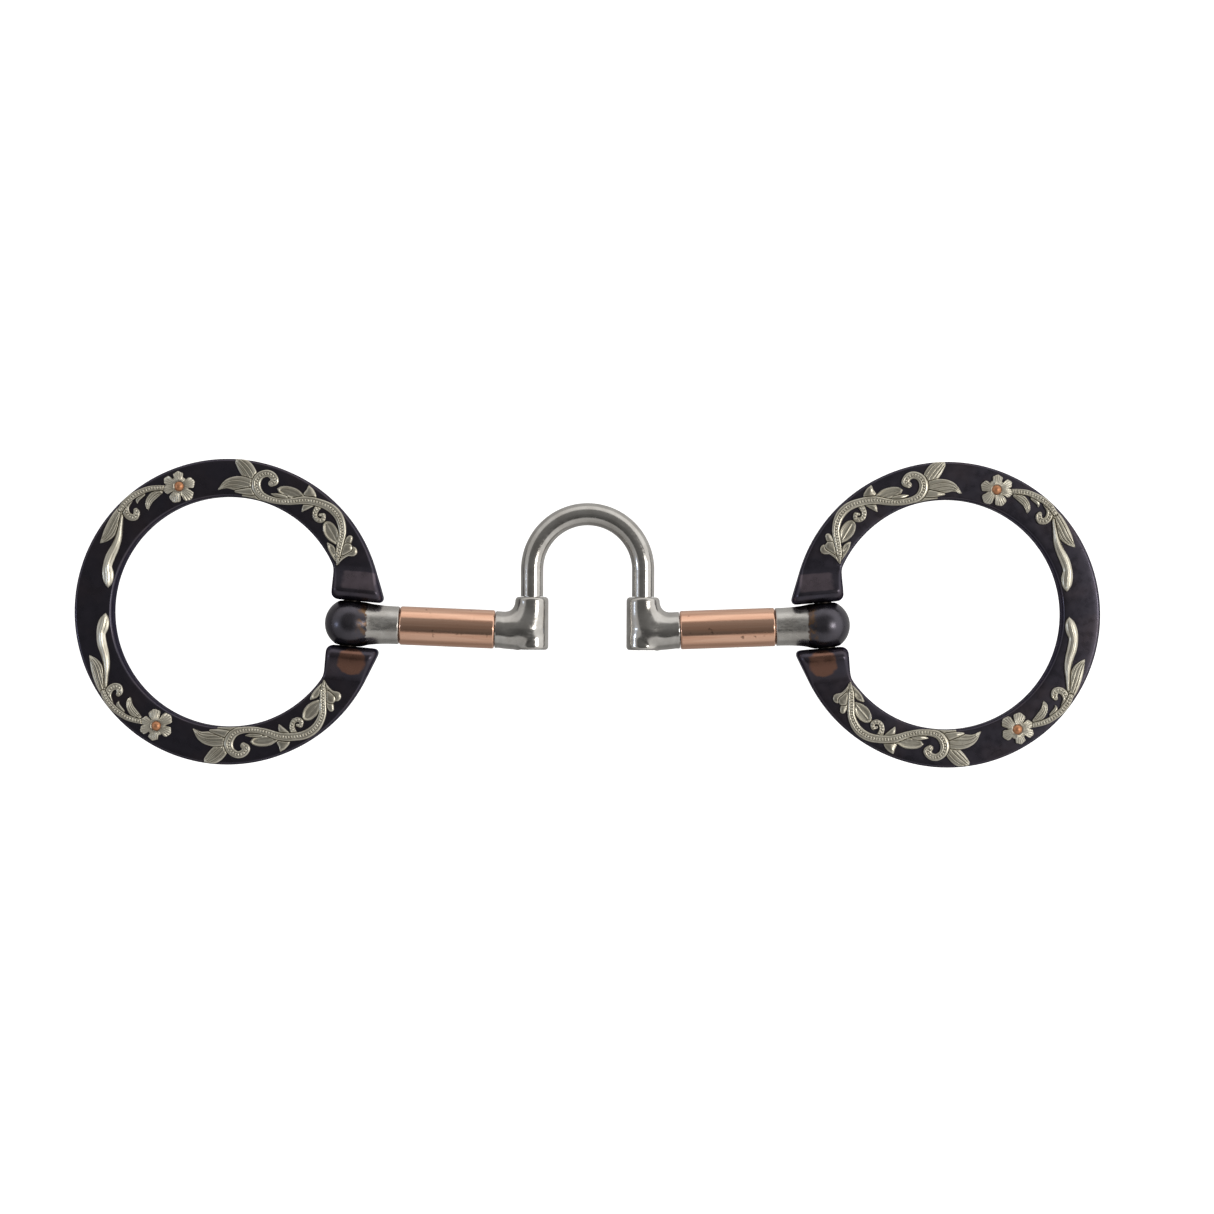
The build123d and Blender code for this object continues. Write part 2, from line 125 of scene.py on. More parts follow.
# ------------------------------------------------------------------ sculpted overlays
# Each shape is (kind, half-widths along it, places along it).  Places are (degrees, radius).
# Kinds: "stem" has a round back, "bead" is a stem with milgrain, "keel" has a ridge, "cup" is hollow
# with a raised rim, "blade" is a shallow leaf with engraved veins.
VINE = [
    ("stem", (0.3, 1.1, 1.3, 1.5), [(29.5, 34.4), (32.0, 36.5), (32.5, 38.5), (31.8, 40.0)]),
    ("stem", (1.2, 1.3, 1.1, 0.9), [(33.5, 36.5), (35.0, 38.5), (36.3, 40.3), (37.0, 41.2)]),
    ("stem", (1.4, 1.4), [(34.0, 37.5), (34.0, 39.3)]),
    ("cup", (0.3, 0.9, 1.0, 0.3), [(31.0, 34.6), (34.5, 34.9), (37.5, 35.1), (40.3, 35.0)]),
    ("cup", (0.7, 1.8, 2.1, 1.6, 0.2),
     [(38.5, 37.2), (41.5, 37.5), (44.0, 37.7), (46.3, 38.0), (48.2, 38.2)]),
    ("stem", (2.0, 1.2, 0.6, 0.2), [(60.5, 40.8), (61.5, 42.0), (62.5, 42.7), (63.0, 43.2)]),
    ("stem", (1.4, 1.2, 0.8, 0.2), [(58.5, 40.0), (59.0, 38.5), (59.3, 37.2), (59.3, 36.0)]),
    ("cup", (1.2, 1.7, 1.7, 1.3, 0.2),
     [(63.0, 39.0), (66.0, 39.0), (69.0, 38.7), (71.5, 38.4), (73.8, 38.2)]),
    ("stem", (1.0, 0.8, 0.5, 0.15), [(69.0, 36.5), (72.0, 36.4), (74.0, 36.3), (75.6, 36.2)]),
    ("stem", (0.9, 1.0, 0.8, 0.5), [(77.5, 34.4), (82.0, 34.2), (85.0, 34.0), (88.0, 33.8)]),
    ("blade", (1.3, 2.0, 2.2, 1.5), [(83.5, 37.0), (86.0, 39.5), (88.5, 41.5), (91.0, 43.2)]),
    ("blade", (1.8, 2.3, 2.1, 1.3, 0.1),
     [(83.5, 36.5), (88.0, 36.8), (92.0, 37.0), (96.0, 36.7), (100.3, 35.2)]),
    ("stem", (1.2, 1.0, 0.7, 0.35), [(84.0, 35.4), (87.0, 35.0), (89.5, 34.8), (92.0, 34.7)]),
    ("bead", (0.9, 0.9, 0.8, 0.75, 0.75, 0.7, 0.6, 0.5),
     [(55.0, 41.2), (55.0, 39.5), (54.4, 38.0), (52.6, 37.1), (50.6, 37.4), (50.0, 38.4), (51.2, 39.3),
      (52.2, 38.6)]),
    ("bead", (0.3, 0.85, 1.0, 1.15, 1.3, 1.3, 1.2, 1.2, 1.0, 0.95, 1.0, 1.2, 1.35, 1.35, 1.2, 1.1, 1.15,
              1.2, 1.0),
     [(30.0, 34.6), (33.5, 36.0), (37.0, 37.9), (41.0, 40.5), (46.0, 42.1), (51.0, 42.2), (56.0, 41.0),
      (61.0, 39.2), (66.0, 36.6), (71.0, 35.1), (76.0, 34.6), (80.0, 35.0), (82.5, 36.5), (83.3, 38.4),
      (82.3, 40.3), (80.0, 41.4), (77.6, 41.2), (76.0, 40.0), (77.0, 39.0)]),
]
SPRAY = [
    ("blade", (1.0, 1.5, 1.8, 1.8, 1.2, 0.1),
     [(139.0, 42.3), (143.0, 42.0), (147.0, 41.4), (151.0, 40.9), (154.0, 41.0), (157.0, 41.6)]),
    ("blade", (0.8, 1.2, 1.1, 0.8, 0.1),
     [(124.5, 39.6), (127.5, 39.6), (130.0, 39.2), (132.0, 38.3), (133.0, 37.2)]),
    ("stem", (0.7, 0.7, 0.5, 0.2), [(131.0, 41.6), (133.0, 41.5), (134.3, 41.2), (134.9, 40.6)]),
    ("keel", (0.5, 0.7, 1.0, 1.25, 1.45, 1.4, 1.7, 1.3, 0.1),
     [(143.0, 41.0), (146.5, 39.4), (150.5, 38.0), (155.0, 37.3), (160.0, 37.2), (164.5, 36.9), (168.0, 36.0),
      (171.0, 35.4), (174.0, 35.0)]),
    ("bead", (0.8, 1.0, 1.05, 1.05, 1.05, 1.0, 0.7),
     [(136.5, 42.6), (139.5, 41.9), (141.0, 40.4), (141.0, 39.0), (139.6, 38.1), (137.8, 38.6),
      (137.3, 39.4)]),
    ("bead", (0.75, 0.8, 0.85, 0.9, 0.95, 0.9, 0.8),
     [(121.0, 39.6), (124.5, 40.9), (128.0, 42.0), (131.5, 42.6), (135.0, 43.0), (138.5, 43.0),
      (141.5, 42.6)]),
]
FLOWER_CENTRE = (116.3, 38.7)   # on its rivet
# (direction in degrees, reach, half its spread in degrees)
FLOWER_PETALS = (
    (106, 4.3, 27), (48, 4.8, 22), (6, 4.6, 22), (-50, 4.8, 29), (-114, 5.0, 29), (-177, 4.6, 28),
)
PETAL_ROOT_R = 2.9
FLOWER_SEAT_R = 1.5          # flat seat under the rivet
FLOWER_SEAT_HEIGHT = 0.85

# how far each vine was soldered off its place: degrees round the ring, and millimetres outwards
# (the sprays sit square on their rivets)
NUDGES = {
    "left_lower_vine": (0.5, -0.1),
    "left_upper_vine": (-0.7, 0.15),
    "right_lower_vine": (0.5, -0.15),
    "right_upper_vine": (1.2, 0.1),
}

EDGE_HEIGHT = 0.5            # height of an overlay's rim above the ring
CROWNS = {"stem": 1.0, "bead": 1.0, "keel": 1.25, "cup": 0.95, "blade": 1.0}
BEAD_PITCH = 0.84
BEAD_R = 0.36
BEAD_HEIGHT = 0.34
BEAD_TROUGH_DEPTH = 0.24     # the channel that the milgrain sits in
BEAD_TROUGH_HALF = 0.42
VEIN_PLACES = (-0.45, 0.1, 0.55)   # across a leaf, as shares of its half-width
VEIN_DEPTH = 0.24
VEIN_WIDTH = 0.12
CUP_RIM_INSET = 0.38
CUP_RIM_HEIGHT = 0.38
RAY_COUNT = 36
RAY_DEPTH = 0.15
RIM_ROUND = 0.25             # rounding of an overlay's rim, and how far it drops there
RIM_DROP = 0.22
MIN_HEIGHT = 0.2
DARKEST_DEPTH = 0.2          # below its surroundings, where the grime and painted shade are full
FULL_BODY_HALF = 0.8         # a shape narrower than this each side of its middle is also lower


def smooth_path(places, half_widths, step=0.12):
    """Catmull-Rom curve through the places, with its half-width and length so far at each point."""
    points = np.array([on_ring(place) for place in places])
    widths = np.array(half_widths, float)
    rows = np.column_stack((points, widths))
    rows = np.vstack((2 * rows[0] - rows[1], rows, 2 * rows[-1] - rows[-2]))
    curve = []
    for before, start, end, after in zip(rows, rows[1:], rows[2:], rows[3:]):
        count = max(2, int(np.linalg.norm(end[:2] - start[:2]) / step))
        t = np.arange(count)[:, None] / count
        curve.append(0.5 * (2 * start + (end - before) * t + (2 * before - 5 * start + 4 * end - after) * t**2
                            + (3 * start - before - 3 * end + after) * t**3))
    curve = np.vstack(curve + [rows[-2][None]])
    length = np.concatenate(([0], np.cumsum(np.linalg.norm(np.diff(curve[:, :2], axis=0), axis=1))))
    return curve[:, :2], np.maximum(curve[:, 2], 0.03), length


def shape_heights(shape, grid):
    """Signed reach inside a shape (positive inside), and its height, at each grid point."""
    kind, half_widths, places = shape
    path, widths, length = smooth_path(places, half_widths)
    offsets = grid[:, None, :] - path[None]
    distances = np.hypot(offsets[..., 0], offsets[..., 1])
    nearest = np.argmax(widths[None] - distances, axis=1)
    rows = np.arange(len(grid))
    reach = widths[nearest] - distances[rows, nearest]
    tangents = np.gradient(path, axis=0)
    tangents /= np.linalg.norm(tangents, axis=1)[:, None]
    ahead = tangents[nearest]
    away = offsets[rows, nearest]
    across = ahead[:, 0] * away[:, 1] - ahead[:, 1] * away[:, 0]
    along = length[nearest]
    share = np.clip(reach / widths[nearest], 0, 1)
    body = np.clip(widths[nearest] / FULL_BODY_HALF, 0.35, 1)
    rise = (CROWNS[kind] - EDGE_HEIGHT) * body
    if kind in ("stem", "bead"):
        height = EDGE_HEIGHT + rise * np.sqrt(1 - (1 - share) ** 2)
    elif kind == "keel":
        height = EDGE_HEIGHT + rise * share
        height += 0.08 * np.exp(-((np.abs(across) - 0.55 * widths[nearest]) / 0.16) ** 2) * body
    elif kind == "cup":
        rim = np.exp(-((reach - CUP_RIM_INSET) / 0.26) ** 2)
        midrib = np.exp(-(across / 0.22) ** 2)
        height = EDGE_HEIGHT + CUP_RIM_HEIGHT * rim * body - 0.1 * share + 0.12 * midrib * share
    else:
        height = EDGE_HEIGHT + rise * np.sqrt(np.clip(share * 1.6, 0, 1))
        for vein in VEIN_PLACES:
            groove = np.exp(-((across - vein * widths[nearest]) / VEIN_WIDTH) ** 2)
            height -= VEIN_DEPTH * groove * np.clip(share * 3, 0, 1)
    if kind == "bead":
        phase = (along / BEAD_PITCH) % 1 - 0.5
        dome = 1 - (phase * BEAD_PITCH / BEAD_R) ** 2 - (across / BEAD_R) ** 2
        height += BEAD_HEIGHT * np.sqrt(np.clip(dome, 0, 1)) * np.clip((widths[nearest] - 0.45) / 0.2, 0, 1)
        trough = np.exp(-(across / BEAD_TROUGH_HALF) ** 4) * np.clip((widths[nearest] - 0.5) / 0.3, 0, 1)
        height -= BEAD_TROUGH_DEPTH * trough
    return reach, height


def flower_heights(grid):
    """The flower: notched petals round a seat, engraved with rays."""
    centre = on_ring(FLOWER_CENTRE)
    outward = centre / np.linalg.norm(centre)
    onward = np.array((-outward[1], outward[0]))
    offset = grid - centre
    radius = np.hypot(offset[:, 0], offset[:, 1])
    turn = np.degrees(np.arctan2(offset @ outward, offset @ onward))
    limit = np.full(len(grid), PETAL_ROOT_R)
    for direction, petal_reach, half_angle in FLOWER_PETALS:
        away = (turn - direction + 180) % 360 - 180
        lobe = np.clip(1 - (away / half_angle) ** 4, 0, 1) ** 0.6
        scallop = 0.14 * np.cos(math.pi * away / half_angle * 2)
        limit = np.maximum(limit, PETAL_ROOT_R + (petal_reach + scallop - PETAL_ROOT_R) * lobe)
    reach = limit - radius
    share = np.clip(radius / limit, 0, 1)
    height = EDGE_HEIGHT + 0.1 + 0.45 * np.sin(math.pi * np.clip(share, 0.15, 0.97)) ** 0.8
    rays = 0.5 + 0.5 * np.cos(np.radians(turn) * RAY_COUNT)
    height -= RAY_DEPTH * rays**2 * np.clip((radius - FLOWER_SEAT_R) / 0.6, 0, 1)
    height = np.where(radius < FLOWER_SEAT_R, FLOWER_SEAT_HEIGHT, height)
    return reach, height


def relief(shapes, with_flower):
    """Closed mesh of an overlay, in the ring frame with z above the ring's face, and its recess values."""
    places = [place for _, _, path in shapes for place in path]
    if with_flower:
        places += [(FLOWER_CENTRE[0] - 8, FLOWER_CENTRE[1])]
    low = min(place[0] for place in places) - 3
    high = max(place[0] for place in places) + 3
    turn_step = math.degrees(RELIEF_STEP / BAND_MIDDLE_R)
    turns = np.radians(np.arange(low, high, turn_step))
    radii = np.arange(RING_INNER_R - 0.6, RING_OUTER_R + 0.8, RELIEF_STEP)
    turn_grid, radius_grid = np.meshgrid(turns, radii, indexing="ij")
    grid_u, grid_v = radius_grid * np.cos(turn_grid), radius_grid * np.sin(turn_grid)
    grid = np.column_stack((grid_u.ravel(), grid_v.ravel()))
    reach = np.full(len(grid), -9.0)
    height = np.zeros(len(grid))
    layers = [(shape, None) for shape in shapes]
    if with_flower:
        layers.append((None, flower_heights))
    for shape, special in layers:
        near = np.ones(len(grid), bool)
        if shape:
            route = np.array([on_ring(place) for place in shape[2]])
            margin = max(shape[1]) + 0.8
            near = np.all((grid > route.min(0) - margin) & (grid < route.max(0) + margin), axis=1)
        new_reach, new_height = special(grid[near]) if special else shape_heights(shape, grid[near])
        old_height = height[near] * (1 - 0.45 * np.exp(-(new_reach / 0.16) ** 2))
        height[near] = np.where(new_reach > 0, new_height, old_height)
        reach[near] = np.maximum(reach[near], new_reach)
    ring_radius = radius_grid.ravel()
    inside_band = np.minimum(RING_OUTER_R - ring_radius, ring_radius - RING_INNER_R) - BAND_MARGIN
    reach = np.minimum(reach, inside_band)
    shape_2d = turn_grid.shape
    # rounded rim all round
    from_edge = np.clip(reach / RIM_ROUND, 0, 1)
    height = height - (1 - np.sqrt(np.clip(1 - (1 - from_edge) ** 2, 0, 1))) * RIM_DROP
    height = np.maximum(height, MIN_HEIGHT)
    # pull the outermost grid points onto the outline
    field = reach.reshape(shape_2d)
    slope_turn, slope_radius = np.gradient(field)
    slope_turn /= (turns[1] - turns[0]) * radius_grid
    slope_radius /= RELIEF_STEP
    steep = np.maximum(slope_turn**2 + slope_radius**2, 0.25)
    pull = np.where(field < 0, -field, 0)
    radius_grid = radius_grid + pull * slope_radius / steep
    turn_grid = turn_grid + pull * slope_turn / steep / radius_grid
    keep = field > -0.75 * RELIEF_STEP
    cells = keep[:-1, :-1] & keep[1:, :-1] & keep[1:, 1:] & keep[:-1, 1:]
    index = np.full(shape_2d, -1)
    used = np.zeros(shape_2d, bool)
    for du, dv in ((0, 0), (1, 0), (1, 1), (0, 1)):
        used[du:du + cells.shape[0], dv:dv + cells.shape[1]] |= cells
    count = int(used.sum())
    index[used] = np.arange(count)
    top = np.column_stack(((radius_grid * np.cos(turn_grid))[used], (radius_grid * np.sin(turn_grid))[used],
                           height.reshape(shape_2d)[used]))
    back = top.copy()
    back[:, 2] = -RELIEF_SINK
    u, v = np.nonzero(cells)
    quads = np.column_stack((index[u, v], index[u + 1, v], index[u + 1, v + 1], index[u, v + 1]))
    edges = {}
    for quad in quads.tolist():
        for start, end in zip(quad, quad[1:] + quad[:1]):
            if (end, start) in edges:
                del edges[end, start]
            else:
                edges[start, end] = True
    faces = [tuple(quad) for quad in quads.tolist()]
    faces += [tuple(count + i for i in reversed(quad)) for quad in quads.tolist()]
    faces += [(end, start, start + count, end + count) for start, end in edges]
    # how far each point lies below the mean of its surroundings, for the grime and painted shade
    around = height.reshape(shape_2d) * used
    weight = used.astype(float)
    for _ in range(3):
        for axis in (0, 1):
            around = sum(np.roll(around, shift, axis) for shift in (-2, -1, 0, 1, 2))
            weight = sum(np.roll(weight, shift, axis) for shift in (-2, -1, 0, 1, 2))
    hollow = np.clip((around / np.maximum(weight, 1e-6))[used] - top[:, 2], 0, DARKEST_DEPTH) / DARKEST_DEPTH
    return np.vstack((top, back)), faces, np.concatenate((hollow, np.ones(count)))


def make_relief(name, side, flip, body, material):
    """Adds one mirrored copy of an overlay, standing for the CAD plate of the same place."""
    points, faces, hollow = RELIEFS[name]
    placed = points.copy()
    placed[:, 2] += RING_THICK / 2
    mirrored = flip != (side < 0)
    prefix = ("left_" if side < 0 else "right_") + ("upper_" if flip else "lower_")
    nudge = NUDGES.get(prefix + name, (0, 0))
    world = ring_to_world(placed, side, flip, nudge)
    obj = new_object(prefix + name + "_relief", world, wound(faces, mirrored), material, 60)
    set_value(obj, "recess", hollow)
    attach(obj, body)
    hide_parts(prefix + name)


# ------------------------------------------------------------------ ring
ROUND_REFLECTION = (37.2, 10.9, 4.1, 3.9)      # centre and half-sizes of the painted reflections, in the ring frame
OBLONG_REFLECTION = (37.1, -12.6, 5.0, 2.7)
BLOCK_TANGENT_TURN = 21.6    # where a block's outer side leaves the ring's circle, in degrees
BLOCK_SECTIONS = 26
BAND_SECTIONS = 75


def rounded_section(length, half_height, edge_r):
    """Points round a slightly crowned rectangle with rounded corners: distance across, and height."""
    points = []
    corners = ((length - edge_r, half_height - edge_r, 0), (edge_r, half_height - edge_r, 90),
               (edge_r, edge_r - half_height, 180), (length - edge_r, edge_r - half_height, 270))
    for (x, z, first), (next_x, next_z, _) in zip(corners, corners[1:] + corners[:1]):
        for turn in np.radians(first + np.linspace(0, 90, 9)):
            points.append((x + edge_r * math.cos(turn), z + edge_r * math.sin(turn)))
        last = math.radians(first + 90)
        start = np.array((x + edge_r * math.cos(last), z + edge_r * math.sin(last)))
        end = np.array((next_x + edge_r * math.cos(last), next_z + edge_r * math.sin(last)))
        points += [tuple(start + (end - start) * share) for share in np.linspace(0, 1, 8)[1:-1]]
    points = np.array(points)
    dip = (2 * points[:, 0] / length - 1) ** 2
    faces_up_or_down = np.abs(points[:, 1]) > half_height - 2 * edge_r
    points[:, 1] -= np.sign(points[:, 1]) * RING_CROWN * dip * faces_up_or_down
    return points


def quarter_inset(depth, radius):
    """How far a quarter-round end of this radius has pulled in at this depth from its tip."""
    return radius - math.sqrt(radius**2 - max(radius - depth, 0) ** 2)


def ring_mesh():
    """Vertices, faces and painted-reflection tints of the ring with its two hinge blocks, in the ring frame.
    Sections follow the band from the gap round to the far side, and are mirrored for the other half."""
    tangent_turn = math.radians(BLOCK_TANGENT_TURN)
    tangent_v = RING_OUTER_R * math.sin(tangent_turn)
    lean_out = (BLOCK_OUT - RING_OUTER_R * math.cos(tangent_turn)) / (tangent_v - GAP_HALF)

    def inner(turn):
        """The inner side: the ring's circle, running smoothly into the block's straight side."""
        chord = BLOCK_IN / max(math.cos(turn), 0.2)
        blend = 0.3
        radius = -blend * math.log(math.exp(-chord / blend) + math.exp(-RING_INNER_R / blend))
        return np.array((math.cos(turn), math.sin(turn))) * radius

    stations = []
    depths = [NOSE_R * (1 - math.cos(turn)) for turn in np.radians((0, 12, 24, 36, 48, 60, 70, 80, 90))]
    last_v = tangent_v + 1.5
    past_nose = np.linspace(GAP_HALF + NOSE_R, last_v, BLOCK_SECTIONS)[1:]
    for v in [GAP_HALF + depth for depth in depths] + list(past_nose):
        depth = v - GAP_HALF
        far_turn = math.asin(min(v / RING_OUTER_R, 1))
        far = np.array((BLOCK_OUT - lean_out * depth, v))
        if v > tangent_v:
            far = np.array((math.cos(far_turn), math.sin(far_turn))) * RING_OUTER_R
        near = inner(math.atan2(v, min(BLOCK_IN, math.sqrt(RING_INNER_R**2 - v**2))))
        stations.append((near, far, quarter_inset(depth, NOSE_PLAN_R), quarter_inset(depth, NOSE_R), v))
    start_inner = math.atan2(near[1], near[0])
    start_outer = math.atan2(far[1], far[0])
    for share in np.linspace(0, 1, BAND_SECTIONS)[1:]:
        outer_turn = start_outer + (math.pi - start_outer) * share
        inner_turn = start_inner + (math.pi - start_inner) * share
        at = np.array((math.cos(outer_turn), math.sin(outer_turn))) * RING_OUTER_R
        stations.append((inner(inner_turn), at, 0, 0, math.inf))

    loops = []
    for near, far, inset, drop, v in stations:
        along = min(max((v - BLOCK_SLOPE_START) / (BLOCK_SLOPE_END - BLOCK_SLOPE_START), 0), 1)
        ease = 0.75 * along + 0.25 * along * along * (3 - 2 * along)
        half = (BLOCK_THICK + (RING_THICK - BLOCK_THICK) * ease) / 2 - drop
        edge_r = BLOCK_EDGE_R + (RING_EDGE_R - BLOCK_EDGE_R) * along
        span = np.linalg.norm(far - near)
        section = rounded_section(span - 2 * inset, half, edge_r)
        flat = near + (far - near) / span * (section[:, :1] + inset)
        loops.append(np.column_stack((flat, section[:, 1])))
    for loop in loops[-2::-1]:
        loops.append(loop * (1, -1, 1))
    size = len(loops[0])
    faces = []
    for row in range(len(loops) - 1):
        for i in range(size):
            j = (i + 1) % size
            faces.append((row * size + i, row * size + j, (row + 1) * size + j, (row + 1) * size + i))
    faces.append(tuple(range(size))[::-1])
    faces.append(tuple((len(loops) - 1) * size + i for i in range(size)))
    points = np.vstack(loops)

    u, v, w = points.T
    # painted reflections on the blocks' upper faces: a round brown one, and an oblong violet one opposite
    round_reflection = np.hypot((u - ROUND_REFLECTION[0]) / ROUND_REFLECTION[2], (v - ROUND_REFLECTION[1]) / ROUND_REFLECTION[3])
    off_u = np.abs(u - OBLONG_REFLECTION[0]) / OBLONG_REFLECTION[2]
    off_v = np.abs(v - OBLONG_REFLECTION[1]) / OBLONG_REFLECTION[3]
    oblong_reflection = np.maximum(off_u, off_v)
    top = w > 1
    # painted reflections: the brown and violet tints only reach the blocks' upper faces
    brown = np.clip((1.12 - round_reflection) / 0.24, 0, 1) * top
    violet = np.clip((1.1 - oblong_reflection) / 0.3, 0, 1) * top
    return points, faces, brown, violet


# ------------------------------------------------------------------ castings, as smooth solids
LEG_X = joints["right_arm_hinge"]["pos_m"][0] / MM
BARREL_LOW = -10.7
BARREL_HIGH = 4.7
BARREL_R = 4.8
BARREL_EDGE_R = 1.05
BAR_SINK = 0.6               # the bar sinks towards the barrel, so that their undersides meet
SPIGOT_BORE_R = 2.45
COUNTERBORE_R = 3.78         # room for the port's burr
COUNTERBORE_DEPTH = 1.72
NECK_END_S = 14.35           # distances along the arm from the ball's centre
ELBOW_START_S = 42.15
ELBOW_END_S = 52.6
BALL_R = 7.25
BALL_FLAT = 6.5
PIVOT_BORE_R = 2.6
SKIN_STEP = 0.3              # grid of the castings' skins
along_arm = np.array((-abs(bar_axis.x), -abs(bar_axis.y), 0))
pin_point = np.array(pin_at)
pin_line = np.array(pin_axis)


def joined(first, second, blend):
    """Smooth union of two distance fields."""
    share = np.clip(0.5 + 0.5 * (second - first) / blend, 0, 1)
    return second + (first - second) * share - blend * share * (1 - share)


def cut(first, second, blend):
    """Smooth difference: the first without the second."""
    return -joined(-first, second, blend)


def rod(radial, along, radius, start, end, edge_r):
    """Distance field of a cylinder with rounded rims."""
    across = radial - radius + edge_r
    beyond = np.abs(along - (start + end) / 2) - (end - start) / 2 + edge_r
    return (np.minimum(np.maximum(across, beyond), 0)
            + np.hypot(np.maximum(across, 0), np.maximum(beyond, 0)) - edge_r)


def arm_places(points):
    """Distance along the arm from the ball's centre, and distance from the arm's axis."""
    offset = points - pin_point
    along = offset @ along_arm
    return along, np.linalg.norm(offset - along[:, None] * along_arm, axis=1)


def elbow_field(points):
    """The elbow: a barrel round the port's leg, and a bar that reaches to the roller."""
    leg_r = np.hypot(points[:, 0] - LEG_X, points[:, 2] - MID_Z)
    y = points[:, 1]
    along = arm_places(points)[0]
    barrel = rod(leg_r, y, BARREL_R, BARREL_LOW, BARREL_HIGH, BARREL_EDGE_R)
    sunk = points + np.outer(np.interp(along, (43.5, 48.0), (0, BAR_SINK)), (0, 1, 0))
    # the bar narrows past the barrel's middle
    bar_r = np.interp(along, (ELBOW_START_S, 44.5, 49.5, ELBOW_END_S), (5.35, 5.3, 4.9, 4.4))
    bar = rod(arm_places(sunk)[1], along, bar_r, ELBOW_START_S - 6, ELBOW_END_S, 2.0)
    body = joined(barrel, bar, np.interp(y, (-10, -4.5), (0.8, 4.8)))
    body = cut(body, along - ELBOW_START_S, 0.3)
    body = cut(body, rod(leg_r, y, COUNTERBORE_R, BARREL_LOW - 9, BARREL_LOW + COUNTERBORE_DEPTH, 0.1), 0.3)
    return cut(body, leg_r - SPIGOT_BORE_R, 0.25)


def arm_end_field(points):
    """The ball, flat where the blocks hold it, with the neck that runs into it."""
    along, radial = arm_places(points)
    offset = points - pin_point
    up_pin = offset @ pin_line
    ball = cut(np.linalg.norm(offset, axis=1) - BALL_R, BALL_FLAT - np.abs(up_pin), 0.5)
    # the neck flares towards the ball
    neck_r = np.interp(along, (4, 6, 8, 10, 12, NECK_END_S), (6.1, 5.95, 5.72, 5.56, 5.5, 5.48))
    neck = rod(radial, along, neck_r, 1.0, NECK_END_S, 0.35)
    body = joined(ball, neck, 1.6)
    body = cut(body, BALL_FLAT + 0.05 - np.abs(up_pin), 0.3)
    pin_r = np.linalg.norm(offset - up_pin[:, None] * pin_line, axis=1)
    return cut(body, pin_r - PIVOT_BORE_R, 0.25)


def skin(field, low, high):
    """Surface-net mesh of a field's zero level, each vertex then settled on it."""
    axes = [np.arange(start, end + SKIN_STEP, SKIN_STEP) for start, end in zip(low, high)]
    grid = np.stack(np.meshgrid(*axes, indexing="ij"), axis=-1)
    counts = grid.shape[:3]
    values = field(grid.reshape(-1, 3)).reshape(counts)
    inside = values < 0
    cell_counts = tuple(n - 1 for n in counts)
    total = np.zeros(cell_counts + (3,))
    crossings = np.zeros(cell_counts)

    def corner(array, shift):
        return array[tuple(slice(d, d + n) for d, n in zip(shift, cell_counts))]

    for axis in range(3):
        others = [a for a in range(3) if a != axis]
        for first in (0, 1):
            for second in (0, 1):
                start = [0, 0, 0]
                start[others[0]] = first
                start[others[1]] = second
                end = list(start)
                end[axis] = 1
                start_value, end_value = corner(values, start), corner(values, end)
                crossed = corner(inside, start) != corner(inside, end)
                share = start_value / np.where(crossed, start_value - end_value, 1)
                where = corner(grid, start) + (corner(grid, end) - corner(grid, start)) * share[..., None]
                total += where * crossed[..., None]
                crossings += crossed
    used = crossings > 0
    index = np.full(cell_counts, -1)
    index[used] = np.arange(used.sum())
    points = total[used] / crossings[used][:, None]
    for _ in range(4):
        value = field(points)
        slope = np.stack([(field(points + d) - field(points - d)) / 0.02 for d in np.eye(3) * 0.01], axis=-1)
        points -= slope * (value / np.maximum((slope**2).sum(axis=1), 0.2))[:, None] * 0.8
    faces = []
    for axis in range(3):
        a, b = (axis + 1) % 3, (axis + 2) % 3
        start = [slice(1, n - 1) for n in counts]
        end = [slice(1, n - 1) for n in counts]
        start[axis] = slice(0, counts[axis] - 1)
        end[axis] = slice(1, counts[axis])
        here, there = inside[tuple(start)], inside[tuple(end)]
        for i, j, k in np.argwhere(here != there):
            at = [i + 1, j + 1, k + 1]
            at[axis] -= 1
            quad = []
            for da, db in ((1, 1), (0, 1), (0, 0), (1, 0)):
                cell = list(at)
                cell[a] -= da
                cell[b] -= db
                quad.append(int(index[tuple(cell)]))
            faces.append(tuple(quad) if here[i, j, k] else tuple(reversed(quad)))
    return points, faces


# ------------------------------------------------------------------ materials
def new_material(name):
    material = bpy.data.materials.new(name)
    material.use_nodes = True
    nodes = material.node_tree.nodes
    return material, nodes, material.node_tree.links, nodes["Principled BSDF"]


def node(nodes, kind, **settings):
    made = nodes.new(kind)
    for key, value in settings.items():
        if key.startswith("in_"):
            made.inputs[key[3:].replace("_", " ")].default_value = value
        else:
            setattr(made, key, value)
    return made


def noise(nodes, links, coords, scale, detail=4, stretch=None, distortion=0.0, seed=0.0):
    """Noise value in object space, optionally stretched."""
    placed = node(nodes, "ShaderNodeMapping")
    placed.inputs["Scale"].default_value = stretch or (1, 1, 1)
    placed.inputs["Location"].default_value = (seed, seed * 0.7, -seed)
    links.new(coords.outputs["Object"], placed.inputs["Vector"])
    made = node(nodes, "ShaderNodeTexNoise", in_Scale=scale, in_Detail=detail, in_Distortion=distortion)
    links.new(placed.outputs["Vector"], made.inputs["Vector"])
    return made.outputs["Fac"]


def ramp(nodes, links, value, *stops):
    made = node(nodes, "ShaderNodeValToRGB")
    elements = made.color_ramp.elements
    while len(elements) < len(stops):
        elements.new(0.5)
    for element, (place, colour) in zip(elements, stops):
        element.position = place
        element.color = (colour, colour, colour, 1) if isinstance(colour, (int, float)) else (*colour, 1)
    links.new(value, made.inputs["Fac"])
    return made.outputs["Color"]


